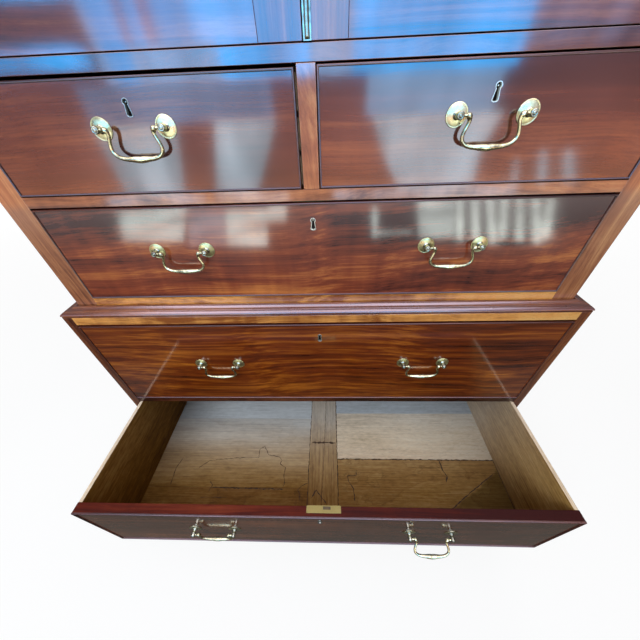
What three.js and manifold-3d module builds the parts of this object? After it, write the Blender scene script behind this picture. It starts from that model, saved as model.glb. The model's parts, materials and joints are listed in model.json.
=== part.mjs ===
// A linen press: an upper case with two cupboard doors over two short drawers and one long
// drawer, standing on a lower case with two deeper long drawers and bracket feet.
// Millimetres. X runs to the right, Y into the press, Z up. The bottom drawer is drawn out.
import * as THREE from 'three';
import { mergeVertices } from 'three/addons/utils/BufferGeometryUtils.js';
import Module from 'manifold-3d';

const wasm = await Module();
wasm.setup();

// Sizes of the two cases
const lowerWidth = 1244;
const caseDepth = 575;
const upperSetback = 30;
const sideThickness = 20;
const lowerStileWidth = 22;
const upperStileWidth = 48;
const stileDepth = 22;
const backThickness = 12;
const seatGap = 0.2;
const reveal = 1.3;

// Heights, from the floor up
const footHeight = 96;
const baseMouldingHeight = 30;
const lowerBottomThickness = 22;
const bottomFrontHeight = 245.5;
const railHeight = 19.5;
const middleFrontHeight = 309.5;
const lowerTopThickness = 22.8;
const upperBottomHeight = 36.4;
const upperFrontHeight = 208;
const shortFrontHeight = 161.8;
const cupboardFloorThickness = 19.5;
const doorHeight = 860;
const friezeHeight = 60;

// Rails and dust boards
const railDepth = 62;
const dustThickness = 9;
const runnerWidth = 62;
const guideHeight = 18;
const dividerWidth = 28;
const dividerGuideWidth = 20;

// Base: frame, ogee moulding and bracket feet
const baseProjection = 12;
const baseStep = 5;
const baseFrameWidth = 60;
const footLength = 175;
const footThickness = 24;
const footArch = 62;
const footTaper = 26;

// Mouldings, given as how far they stand out and how high they are
const waistProjection = 32;
const waistFilletHeight = 2.5;
const waistLowerReed = 9;
const waistUpperReed = 6.3;
const waistUpperReach = 20;
const waistFilletReach = 30;
const corniceDrop = 44;
const corniceRise = 40;
const corniceProjection = 58;
const corniceFillet = 9;
const corniceBead = 8;
const corniceSeat = 70;
const mouldingSteps = 6;

// Drawers
const frontThickness = 23;
const drawerSideThickness = 10;
const drawerBackThickness = 9;
const drawerBottomThickness = 6.5;
const drawerBottomRaise = 1.5;
const drawerSideClearance = 0.3;
const drawerSideDrop = 0.8;
const drawerBackDrop = 14;
const drawerRunGap = 0.3;
const drawerRearGap = 26;
const cockBeadWidth = 3.2;
const cockBeadProjection = 2.4;
const bottomDrawerPull = 307.5;
const muntinWidth = 96;
const muntinRise = 5;

// Doors and trays
const doorThickness = 22;
const doorStileWidth = 60;
const doorRailWidth = 68;
const panelThickness = 9;
const panelTongue = 9;
const panelClearance = 0.8;
const panelFieldMargin = 46;
const panelFieldRise = 4;
const meetingGap = 2;
const meetingShift = -2;
const hingeEdgeGap = 0.5;
const astragalWidth = 11.5;
const astragalPlate = 1.6;
const astragalBead = 7;
const astragalOverlap = 0.5;
const bearerHeight = 14;
const bearerReach = 46;
const trayHeight = 105;
const trayFrontHeight = 62;
const trayWall = 12;
const trayBottom = 8;
const trayFirstRise = 262;
const trayPitch = 290;
const trayDoorGap = 14;

// Swan-neck handles
const handleSpread = 105.5;
const handleOffset = 278.5;
const shortHandleLift = 16.4;
const upperHandleLift = 13.5;
const middleHandleLift = 10.5;
const bottomHandleLift = 10.25;
const rosetteRadius = 17;
const rosetteEdge = 1.4;
const rosetteDome = 4;
const collarRadius = 6.4;
const neckRadius = 3.6;
const ballRadius = 6;
const pivotStandOff = 14;
const pinRadius = 2;
const pinClearance = 0.35;
const bailRadius = 2.5;
const bellyRadius = 4.3;
const bailDrop = 42;
const pinInsert = 3.2;
const postSides = 16;
const ballSteps = 6;
const bailSides = 8;
const raisedBailAngle = THREE.MathUtils.degToRad(42);

// Outline of a rosette: share of its radius, share of its dome's height
const rosetteShares = [[1, 0.35], [0.72, 0.72], [0.45, 1]];

// Outline of half a bail, from its pin to the middle of its belly: across, down, thickness.
// Across is a share of half the spread, down of the drop, thickness runs from the
// pin's radius (0) through the rod's (1) to the belly's (2).
const bailOutlineShares = [
  [0.85, 0, 0], [0.79, 0, 0.9], [0.745, 0.015, 1], [0.705, 0.075, 1], [0.70, 0.17, 1],
  [0.73, 0.3, 1], [0.77, 0.44, 1], [0.795, 0.58, 1], [0.785, 0.71, 1], [0.72, 0.83, 1.05],
  [0.6, 0.92, 1.15], [0.43, 0.97, 1.35], [0.22, 0.99, 1.75], [0, 1, 2],
];

// Levels worked out from the heights
const baseTop = footHeight + baseMouldingHeight;
const bottomOpening = baseTop + lowerBottomThickness;
const lowerRail = bottomOpening + bottomFrontHeight + 2 * reveal;
const middleOpening = lowerRail + railHeight;
const lowerTop = middleOpening + middleFrontHeight + 2 * reveal;
const upperCaseFoot = lowerTop + lowerTopThickness;
const upperOpening = upperCaseFoot + upperBottomHeight;
const upperRail = upperOpening + upperFrontHeight + 2 * reveal;
const shortOpening = upperRail + railHeight;
const cupboardFloor = shortOpening + shortFrontHeight + 2 * reveal;
const doorOpening = cupboardFloor + cupboardFloorThickness;
const frieze = doorOpening + doorHeight + 2 * reveal;
const caseTop = frieze + friezeHeight;

// Half widths and fronts of the two cases
const lowerHalf = lowerWidth / 2;
const upperHalf = lowerHalf - upperSetback;
const lowerInner = lowerHalf - lowerStileWidth;
const upperInner = upperHalf - upperStileWidth;
const lowerFrontY = 0;
const upperFrontY = upperSetback;
const backFaceY = caseDepth - backThickness;

// Colours seen in the photograph, as plain finishes
const finish = (color, roughness, metalness = 0) => ({ color, roughness, metalness });
const MAHOGANY = finish(0x7a3a1a, 0.25);
const RAIL = finish(0xa06030, 0.3);
const CARCASE = finish(0x8a5a34, 0.6);
const OAK = finish(0xa07c4c, 0.7);
const BRASS = finish(0xb99a55, 0.3, 1);

function solidOf(geometry) {
  const bare = geometry.index ? geometry.clone() : geometry;
  bare.deleteAttribute('normal');
  bare.deleteAttribute('uv');
  const merged = mergeVertices(bare);
  const corners = [];
  for (let t = 0; t < merged.index.count; t += 3) {
    const [a, b, c] = merged.index.array.slice(t, t + 3);
    if (a !== b && b !== c && c !== a) corners.push(a, b, c);
  }
  const mesh = new wasm.Mesh({
    numProp: 3,
    vertProperties: new Float32Array(merged.attributes.position.array),
    triVerts: new Uint32Array(corners),
  });
  return new wasm.Manifold(mesh);
}

function geometryOf(solid) {
  const mesh = solid.getMesh();
  const geometry = new THREE.BufferGeometry();
  geometry.setAttribute('position', new THREE.BufferAttribute(mesh.vertProperties, 3));
  geometry.setIndex(new THREE.BufferAttribute(mesh.triVerts, 1));
  geometry.computeVertexNormals();
  return geometry;
}

// A box between two corners, as a geometry in place
function boxBetween([x0, x1], [y0, y1], [z0, z1]) {
  const box = new THREE.BoxGeometry(x1 - x0, y1 - y0, z1 - z0);
  box.translate((x0 + x1) / 2, (y0 + y1) / 2, (z0 + z1) / 2);
  return box;
}

const block = (x, y, z) => solidOf(boxBetween(x, y, z));

function joined(blocks, cuts = []) {
  let solid = blocks[0];
  for (const other of blocks.slice(1)) solid = solid.add(other);
  for (const cut of cuts) solid = solid.subtract(cut);
  return geometryOf(solid);
}

function addMesh(parent, name, geometry, look) {
  const mesh = new THREE.Mesh(geometry, new THREE.MeshStandardMaterial(look));
  mesh.name = name;
  parent.add(mesh);
  return mesh;
}

// Turns rings of points into one closed skin with flat ends, faces pointing out
function skinOf(rings, capShape) {
  const count = rings[0].length;
  const index = [];
  for (let r = 0; r + 1 < rings.length; r++) {
    for (let i = 0; i < count; i++) {
      const j = (i + 1) % count;
      const [a, b, c, d] = [r * count + i, r * count + j, (r + 1) * count + j, (r + 1) * count + i];
      index.push(a, b, c, a, c, d);
    }
  }
  const last = (rings.length - 1) * count;
  for (const [a, b, c] of THREE.ShapeUtils.triangulateShape(capShape, [])) {
    index.push(c, b, a);
    index.push(last + a, last + b, last + c);
  }
  const points = rings.flat();
  let volume = 0;
  for (let t = 0; t < index.length; t += 3) {
    const [a, b, c] = [points[index[t]], points[index[t + 1]], points[index[t + 2]]];
    volume += a.dot(b.clone().cross(c));
  }
  if (volume < 0) index.reverse();
  const geometry = new THREE.BufferGeometry().setFromPoints(points);
  geometry.setIndex(index);
  geometry.computeVertexNormals();
  return geometry;
}

// A moulding run round the front and both ends of a case, mitred at the front corners.
// The outline holds pairs: how far out from the case's face, and the height.
function mouldingRound(outline, half, frontY, endY) {
  const stations = [
    (out) => [-half - out, endY], (out) => [-half - out, frontY - out],
    (out) => [half + out, frontY - out], (out) => [half + out, endY],
  ];
  const rings = stations.map((place) => outline.map(([out, z]) => {
    const [x, y] = place(out);
    return new THREE.Vector3(x, y, z);
  }));
  return skinOf(rings, outline.map(([out, z]) => new THREE.Vector2(out, z)));
}

// Points of a half-round nose, from its lower edge to its upper edge
function nose(reach, lowZ, highZ) {
  const radius = (highZ - lowZ) / 2;
  const points = [];
  for (let i = 0; i <= mouldingSteps; i++) {
    const angle = -Math.PI / 2 + (Math.PI * i) / mouldingSteps;
    points.push([reach - radius + radius * Math.cos(angle), lowZ + radius + radius * Math.sin(angle)]);
  }
  return points;
}

const press = new THREE.Group();
const carcase = new THREE.Group();
press.add(carcase);

// Sides: a board with the front stile worked on it
function sideGeometry(half, stileWidth, frontY, z, extras = []) {
  const board = block([half - sideThickness, half], [frontY, caseDepth], z);
  const stile = block([half - stileWidth, half], [frontY, frontY + stileDepth], z);
  return joined([board, stile, ...extras]);
}

function mirrored(geometry) {
  const copy = geometry.clone().scale(-1, 1, 1);
  const index = copy.index.array;
  for (let t = 0; t < index.length; t += 3) [index[t], index[t + 1]] = [index[t + 1], index[t]];
  copy.computeVertexNormals();
  return copy;
}

function addPair(name, geometry, look) {
  addMesh(carcase, `${name}_right`, geometry, look);
  addMesh(carcase, `${name}_left`, mirrored(geometry), look);
}

// Base frame with its ogee moulding and four bracket feet, glued up as one frame
const outerBase = lowerHalf + baseProjection;
const baseTopZ = baseTop - seatGap;
const baseOutline = [
  [-baseFrameWidth, footHeight], [baseProjection, footHeight], [baseProjection, baseTop - 3 * baseStep],
  [baseProjection - baseStep / 3, baseTop - 2 * baseStep], [baseProjection / 2, baseTop - baseStep],
  [baseStep / 5, baseTopZ], [-baseFrameWidth, baseTopZ],
];
const footTop = footHeight + baseStep;
const bracket = new THREE.Shape();
bracket.moveTo(0, 0);
bracket.lineTo(footLength - footTaper - footArch, 0);
bracket.quadraticCurveTo(
  footLength - footTaper - footArch / 2, footArch / 6, footLength - footArch, footArch / 2);
bracket.quadraticCurveTo(
  footLength - footArch / 2, footHeight - footTaper, footLength, footHeight - footTaper / 3);
bracket.lineTo(footLength, footTop);
bracket.lineTo(0, footTop);

function bracketBoard(place) {
  const outline = bracket.getPoints(mouldingSteps);
  const rings = [0, footThickness].map((depth) => outline.map((p) => place(p.x, depth, p.y)));
  return solidOf(skinOf(rings, outline));
}

const baseBlocks = [
  solidOf(mouldingRound(baseOutline, lowerHalf, lowerFrontY, caseDepth)),
  block([-lowerHalf, lowerHalf], [caseDepth - baseFrameWidth, caseDepth], [footHeight, baseTopZ]),
];
for (const side of [-1, 1]) {
  for (const [cornerY, inward] of [[lowerFrontY - baseProjection, 1], [caseDepth, -1]]) {
    baseBlocks.push(bracketBoard((along, depth, z) => (
      new THREE.Vector3(side * (outerBase - along), cornerY + inward * depth, z))));
    baseBlocks.push(bracketBoard((along, depth, z) => (
      new THREE.Vector3(side * (outerBase - depth), cornerY + inward * along, z))));
  }
}
addMesh(carcase, 'base_plinth', joined(baseBlocks), MAHOGANY);

// A rail across the front of a case with what lies behind it, let in behind the stiles.
// guides are the strips on top that keep a drawer narrower than the case on its line.
function railBlocks({ half, stileWidth, frontY }, railZ, behind) {
  const inner = half - stileWidth - seatGap;
  const wide = half - sideThickness - seatGap;
  const rearY = [frontY + stileDepth + seatGap, backFaceY - seatGap];
  const blocks = [block([-inner, inner], [frontY, frontY + railDepth], railZ)];
  for (const { x = [-wide, wide], z } of behind) blocks.push(block(x, rearY, z));
  return blocks;
}

const lowerCase = { half: lowerHalf, stileWidth: lowerStileWidth, frontY: lowerFrontY };
const upperCase = { half: upperHalf, stileWidth: upperStileWidth, frontY: upperFrontY };

function runnersFor({ half }, z) {
  const wide = half - sideThickness - seatGap;
  return [-1, 1].map((side) => ({
    x: side < 0 ? [-wide, runnerWidth - wide] : [wide - runnerWidth, wide], z,
  }));
}

function guidesFor({ half, stileWidth }, topZ) {
  const wide = half - sideThickness - seatGap;
  const inner = half - stileWidth;
  const z = [topZ - dustThickness, topZ + guideHeight];
  return [{ x: [-wide, -inner], z }, { x: [inner, wide], z }];
}

function dustBoard(frame, bottomZ, extras = []) {
  const z = [bottomZ, bottomZ + railHeight];
  const middle = bottomZ + (railHeight - dustThickness) / 2;
  return joined(railBlocks(frame, z, [
    { z: [middle, middle + dustThickness] }, ...runnersFor(frame, z), ...extras,
  ]));
}

const lift = ([low, high]) => [low + seatGap, high - seatGap];

// Lower case
addPair('lower_side', sideGeometry(
  lowerHalf, lowerStileWidth, lowerFrontY, [baseTop, upperCaseFoot]), MAHOGANY);
addMesh(carcase, 'lower_bottom', joined(railBlocks(
  lowerCase, [baseTop, bottomOpening], [{ z: [baseTop, bottomOpening] }])), RAIL);
addMesh(carcase, 'lower_dust_board', dustBoard(lowerCase, lowerRail), RAIL);
addMesh(carcase, 'lower_top', joined(railBlocks(
  lowerCase, [lowerTop, upperCaseFoot], [{ z: [lowerTop, upperCaseFoot] }])), RAIL);
addMesh(carcase, 'lower_back', boxBetween(
  [seatGap + sideThickness - lowerHalf, lowerHalf - sideThickness - seatGap],
  [backFaceY, caseDepth], [baseTop, upperCaseFoot]), CARCASE);

// Waist moulding: a fillet and two half-round reeds, planted on the lower case's top
const waistFoot = upperCaseFoot + seatGap;
const waistReedZ = waistFoot + waistFilletHeight;
const waistStepZ = waistReedZ + waistLowerReed;
const waistTop = waistStepZ + waistUpperReed;
const waistOutline = [
  [seatGap, waistFoot], [waistFilletReach, waistFoot], [waistFilletReach, waistReedZ],
  ...nose(waistProjection, waistReedZ, waistStepZ), ...nose(waistUpperReach, waistStepZ, waistTop),
  [seatGap, waistTop],
];
addMesh(carcase, 'waist_moulding', mouldingRound(
  waistOutline, upperHalf, upperFrontY, caseDepth), MAHOGANY);

// Upper case. Its sides carry the bearers that the linen trays slide on.
const upperFoot = upperCaseFoot + seatGap;
const trayFront = upperFrontY + doorThickness + trayDoorGap;
const trayRear = backFaceY - trayDoorGap;
const trayLevels = [0, 1].map((i) => doorOpening + trayFirstRise + i * trayPitch);
const bearers = trayLevels.map((z) => block(
  [upperHalf - sideThickness - bearerReach, upperHalf - sideThickness / 2],
  [trayFront, backFaceY - seatGap], [z - bearerHeight, z - seatGap]));
addPair('upper_side', sideGeometry(
  upperHalf, upperStileWidth, upperFrontY, [upperFoot, caseTop], bearers), MAHOGANY);
addMesh(carcase, 'upper_bottom', joined(railBlocks(
  upperCase, [upperFoot, upperOpening],
  [{ z: [upperOpening - railHeight, upperOpening] }, ...guidesFor(upperCase, upperOpening)])), RAIL);
addMesh(carcase, 'upper_dust_board', dustBoard(
  upperCase, upperRail, guidesFor(upperCase, shortOpening)), RAIL);
addMesh(carcase, 'short_divider', joined([
  block([-dividerWidth / 2, dividerWidth / 2], [upperFrontY, upperFrontY + railDepth],
    lift([shortOpening, cupboardFloor])),
  block([-dividerGuideWidth / 2, dividerGuideWidth / 2], [upperFrontY + railDepth / 2, backFaceY - seatGap],
    lift([shortOpening, shortOpening + guideHeight])),
]), RAIL);
addMesh(carcase, 'cupboard_floor', joined(railBlocks(
  upperCase, [cupboardFloor, doorOpening], [{ z: [cupboardFloor, doorOpening] }])), RAIL);
addMesh(carcase, 'upper_top', joined(railBlocks(
  upperCase, [frieze, caseTop], [{ z: [caseTop - railHeight, caseTop] }])), RAIL);
addMesh(carcase, 'upper_back', boxBetween(
  [seatGap + sideThickness - upperHalf, upperHalf - sideThickness - seatGap],
  [backFaceY, caseDepth], [upperFoot, caseTop]), CARCASE);

// Cornice: a bead, a deep cove and a top fillet, seated on the case's top
const corniceFoot = caseTop - corniceDrop;
const corniceTop = caseTop + corniceRise;
const coveLow = corniceFoot + corniceBead;
const coveHigh = corniceTop - corniceFillet;
const coveReach = corniceProjection - corniceBead - corniceFillet / 2;
const cove = [];
for (let i = 0; i <= mouldingSteps; i++) {
  const angle = (Math.PI / 2) * (i / mouldingSteps);
  cove.push([
    corniceBead / 2 + coveReach * (1 - Math.cos(angle)),
    coveLow + (coveHigh - coveLow) * Math.sin(angle),
  ]);
}
const corniceOutline = [
  [seatGap, corniceFoot], ...nose(corniceBead, corniceFoot, coveLow), ...cove,
  [corniceProjection, coveHigh], [corniceProjection, corniceTop], [-corniceSeat, corniceTop],
  [-corniceSeat, caseTop + seatGap], [seatGap, caseTop + seatGap],
];
addMesh(carcase, 'cornice', mouldingRound(
  corniceOutline, upperHalf, upperFrontY, caseDepth), MAHOGANY);

// Doors: a grooved frame round a fielded panel
const doorZ = [doorOpening + reveal, doorOpening + reveal + doorHeight];
const doorY = [upperFrontY, upperFrontY + doorThickness];
const panelMiddle = upperFrontY + doorThickness / 2;
const grow = ([low, high], by) => [low - by, high + by];

function addDoor(name, x) {
  const door = new THREE.Group();
  press.add(door);
  const openX = grow(x, -doorStileWidth);
  const openZ = grow(doorZ, -doorRailWidth);
  const panelX = grow(openX, panelTongue - panelClearance);
  const panelZ = grow(openZ, panelTongue - panelClearance);
  const panelY = grow([panelMiddle, panelMiddle], panelThickness / 2);
  const through = block(openX, grow(doorY, reveal), openZ);
  const groove = block(grow(openX, panelTongue), grow(panelY, seatGap), grow(openZ, panelTongue));
  addMesh(door, `${name}_frame`, joined([block(x, doorY, doorZ)], [through, groove]), MAHOGANY);
  const fieldY = [panelY[0] - panelFieldRise, panelMiddle];
  const field = block(grow(openX, -panelFieldMargin), fieldY, grow(openZ, -panelFieldMargin));
  addMesh(door, `${name}_panel`, joined([block(panelX, panelY, panelZ), field]), MAHOGANY);
  return door;
}

const doorOuter = upperInner - hingeEdgeGap;
addDoor('door_left', [-doorOuter, meetingShift - meetingGap / 2]);
const rightDoor = addDoor('door_right', [meetingShift + meetingGap / 2, doorOuter]);

// Brass astragal, a flat strip with a half-round bead, on the right door's meeting edge
const astragalLeft = meetingShift + meetingGap / 2 - astragalOverlap;
const bar = new THREE.Shape();
bar.moveTo(0, 0);
bar.lineTo(astragalWidth, 0);
bar.lineTo(astragalWidth, astragalPlate);
bar.lineTo((astragalWidth + astragalBead) / 2, astragalPlate);
bar.absarc(astragalWidth / 2, astragalPlate, astragalBead / 2, 0, Math.PI, false);
bar.lineTo(0, astragalPlate);
const barOutline = bar.getPoints(mouldingSteps);
const barRings = doorZ.map((z) => barOutline.map((p) => (
  new THREE.Vector3(astragalLeft + p.x, upperFrontY - seatGap - p.y, z))));
addMesh(rightDoor, 'door_astragal', geometryOf(solidOf(skinOf(barRings, barOutline))), BRASS);

// Linen trays with low fronts
trayLevels.forEach((z, i) => {
  const half = upperInner - 2 * reveal;
  const x = [-half, half];
  const y = [trayFront, trayRear];
  const top = z + trayHeight;
  const tray = [
    block(x, y, [z, z + trayBottom]),
    block(x, [y[0], y[0] + trayWall], [z, z + trayFrontHeight]),
    block(x, [y[1] - trayWall, y[1]], [z, top]),
    block([-half, trayWall - half], y, [z, top]),
    block([half - trayWall, half], y, [z, top]),
  ];
  addMesh(press, i ? 'tray_upper' : 'tray_lower', joined(tray), OAK);
});

// Brass handles: a turned post and rosette at each end, bored for the bail's pin
function postGeometry() {
  const neckAngle = Math.asin(neckRadius / ballRadius);
  const profile = [
    [0, 0], [rosetteRadius, 0],
    ...rosetteShares.map(([across, up]) => [rosetteRadius * across, rosetteDome * up]),
    [collarRadius, rosetteDome], [collarRadius, rosetteDome + rosetteEdge],
    [neckRadius, rosetteDome + 2 * rosetteEdge],
  ];
  for (let i = 0; i < ballSteps; i++) {
    const angle = neckAngle + (Math.PI - neckAngle) * (i / ballSteps);
    profile.push([ballRadius * Math.sin(angle), pivotStandOff - ballRadius * Math.cos(angle)]);
  }
  profile.push([0, pivotStandOff + ballRadius]);
  const turned = new THREE.LatheGeometry(profile.map(([r, h]) => new THREE.Vector2(r, h)), postSides);
  const boreStart = ballRadius - pinInsert - pinClearance;
  const bore = new THREE.CylinderGeometry(
    pinRadius + pinClearance, pinRadius + pinClearance, ballRadius, bailSides);
  bore.rotateZ(Math.PI / 2);
  bore.translate(boreStart + ballRadius / 2, pivotStandOff, 0);
  const geometry = geometryOf(solidOf(turned).subtract(solidOf(bore)));
  return geometry.rotateX(Math.PI);
}

// A swan-neck bail: a rod that swells to a belly, hanging from pins on the X axis
function bailGeometry() {
  const half = handleSpread / 2;
  const radiusFor = (t) => (t < 1
    ? THREE.MathUtils.lerp(pinRadius, bailRadius, t)
    : THREE.MathUtils.lerp(bailRadius, bellyRadius, t - 1));
  const side = [
    { x: half - ballRadius + pinInsert, z: 0, radius: pinRadius },
    ...bailOutlineShares.map(([across, down, t]) => (
      { x: half * across, z: -bailDrop * down, radius: radiusFor(t) })),
  ];
  const run = [...side, ...side.slice(0, -1).reverse().map((p) => ({ ...p, x: -p.x }))];
  const rings = run.map((p, i) => {
    const before = run[Math.max(i - 1, 0)];
    const after = run[Math.min(i + 1, run.length - 1)];
    const along = new THREE.Vector2(after.x - before.x, after.z - before.z).normalize();
    const ring = [];
    for (let k = 0; k < bailSides; k++) {
      const angle = (2 * Math.PI * (k + 1 / 2)) / bailSides;
      const across = p.radius * Math.cos(angle);
      ring.push(new THREE.Vector3(
        p.x - along.y * across, p.radius * Math.sin(angle), p.z + along.x * across));
    }
    return ring;
  });
  const cap = rings[0].map((_, k) => {
    const angle = (2 * Math.PI * (k + 1 / 2)) / bailSides;
    return new THREE.Vector2(Math.cos(angle), Math.sin(angle));
  });
  return skinOf(rings, cap);
}

const postShape = postGeometry();
const bailShape = bailGeometry();

function addHandle(drawer, name, x, z, raised = 0) {
  const face = -seatGap;
  for (const [end, side] of [['left', -1], ['right', 1]]) {
    const post = addMesh(drawer, `${name}_post_${end}`, postShape.clone(), BRASS);
    post.position.set(x + (side * handleSpread) / 2, face, z);
    post.rotation.y = side > 0 ? Math.PI : 0;
  }
  const bail = addMesh(drawer, `${name}_bail`, bailShape.clone(), BRASS);
  bail.position.set(x, face - pivotStandOff, z);
  bail.rotation.x = -raised;
}

// Drawers. Each group's origin is the middle of the front's lower edge, on its face.
function addDrawer(name, { x = 0, half, z, height, frontY, pull = 0, handles, loose = false }) {
  const drawer = new THREE.Group();
  drawer.position.set(x, frontY - pull, z);
  press.add(drawer);
  const width = [-half, half];
  const inside = grow(width, -cockBeadWidth);
  const front = block(width, [0, frontThickness], [0, height]);
  const bead = block(width, [-cockBeadProjection, frontThickness / 2], [0, height]);
  const field = block(
    inside, [-cockBeadProjection - reveal, 0], [cockBeadWidth, height - cockBeadWidth]);
  addMesh(drawer, `${name}_front`, joined([front, bead], [field]), MAHOGANY);

  const boxY = [frontThickness + seatGap, backFaceY - frontY - drawerRearGap];
  const outer = half - drawerSideClearance;
  const inner = outer - drawerSideThickness;
  const lowZ = drawerRunGap - reveal;
  const sideZ = [lowZ, height - drawerSideDrop];
  const backZ = [lowZ, height - drawerBackDrop];
  const panelZ = [drawerBottomRaise, drawerBottomRaise + drawerBottomThickness];
  const groove = drawerSideThickness / 2;
  const walls = [
    block([-outer, -inner], boxY, sideZ),
    block([inner, outer], boxY, sideZ),
    block([-outer, outer], [boxY[1] - drawerBackThickness, boxY[1]], backZ),
  ];
  const panel = [[groove - outer, outer - groove], [boxY[0], boxY[1] - drawerBackThickness / 2], panelZ];
  if (!loose) walls.push(block(...panel));
  const cuts = loose ? [block(...panel.map((range) => grow(range, seatGap)))] : [];
  addMesh(drawer, `${name}_box`, joined(walls, cuts), OAK);
  if (loose) {
    addMesh(drawer, `${name}_panel`, boxBetween(...panel), OAK);
    const top = panelZ[1] + seatGap;
    addMesh(drawer, `${name}_muntin`, boxBetween(
      [-muntinWidth / 2, muntinWidth / 2],
      [boxY[0], boxY[1] - drawerBackThickness - seatGap], [top, top + muntinRise]), OAK);
  }
  for (const [handle, handleX, handleZ, raised] of handles) {
    addHandle(drawer, `${name}_${handle}`, handleX, height / 2 + handleZ, raised);
  }
}

const shortMiddle = (upperInner + dividerWidth / 2) / 2;
const shortHalf = (upperInner - dividerWidth / 2) / 2 - reveal;
for (const [name, side] of [['short_left', -1], ['short_right', 1]]) {
  addDrawer(name, {
    x: side * shortMiddle, half: shortHalf, z: shortOpening + reveal, height: shortFrontHeight,
    frontY: upperFrontY, handles: [['handle', 0, shortHandleLift]],
  });
}
addDrawer('upper_long', {
  half: upperInner - reveal, z: upperOpening + reveal, height: upperFrontHeight, frontY: upperFrontY,
  handles: [['left', -handleOffset, upperHandleLift], ['right', handleOffset, upperHandleLift]],
});
addDrawer('middle_long', {
  half: lowerInner - reveal, z: middleOpening + reveal, height: middleFrontHeight, frontY: lowerFrontY,
  handles: [['left', -handleOffset, middleHandleLift], ['right', handleOffset, middleHandleLift]],
});
addDrawer('bottom_long', {
  half: lowerInner - reveal, z: bottomOpening + reveal, height: bottomFrontHeight, frontY: lowerFrontY,
  pull: bottomDrawerPull, loose: true,
  handles: [
    ['left', -handleOffset, bottomHandleLift],
    ['right', handleOffset, bottomHandleLift, raisedBailAngle],
  ],
});

// The whole press stands with the middle of its footprint at the origin
press.updateMatrixWorld(true);
const reach = new THREE.Box3().setFromObject(press, true);
press.position.y = -(reach.min.y + reach.max.y) / 2;

export default press;
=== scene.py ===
"""A mahogany linen press, seen from above with its bottom drawer drawn out.

Lengths are millimetres in the CAD frame, turned to metres where a mesh is made. The lights, the
mirrored sheets and the camera are placed in metres. The scales of a material's noise count per metre.
"""
import json
import random
from math import asin, cos, degrees, hypot, pi, radians, sin

import bmesh
import bpy
from mathutils import Matrix, Vector


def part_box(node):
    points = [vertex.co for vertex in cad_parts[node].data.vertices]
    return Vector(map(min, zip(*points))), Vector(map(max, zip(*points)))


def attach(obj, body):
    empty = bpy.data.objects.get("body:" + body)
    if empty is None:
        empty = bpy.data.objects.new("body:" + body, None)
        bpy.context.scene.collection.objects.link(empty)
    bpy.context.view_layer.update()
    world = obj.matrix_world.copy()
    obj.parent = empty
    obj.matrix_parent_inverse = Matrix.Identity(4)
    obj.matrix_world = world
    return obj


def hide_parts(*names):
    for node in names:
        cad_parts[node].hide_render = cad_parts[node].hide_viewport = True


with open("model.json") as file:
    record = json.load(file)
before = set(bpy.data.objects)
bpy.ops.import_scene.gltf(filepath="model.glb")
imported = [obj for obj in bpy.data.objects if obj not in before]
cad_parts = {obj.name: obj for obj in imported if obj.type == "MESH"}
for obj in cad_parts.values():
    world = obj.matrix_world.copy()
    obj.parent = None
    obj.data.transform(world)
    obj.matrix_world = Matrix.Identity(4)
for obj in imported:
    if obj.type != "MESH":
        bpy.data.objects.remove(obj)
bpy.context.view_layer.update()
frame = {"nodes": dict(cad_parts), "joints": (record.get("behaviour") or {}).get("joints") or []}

scene = bpy.context.scene
MM = 0.001


def extent(node):
    """The node's box in millimetres, as ((x0, x1), (y0, y1), (z0, z1))."""
    low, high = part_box(node)
    return tuple((low[i] / MM, high[i] / MM) for i in range(3))


def give(thing, **settings):
    """Sets a thing's settings, and returns it."""
    for key, value in settings.items():
        setattr(thing, key, value)
    return thing


# Materials


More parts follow.
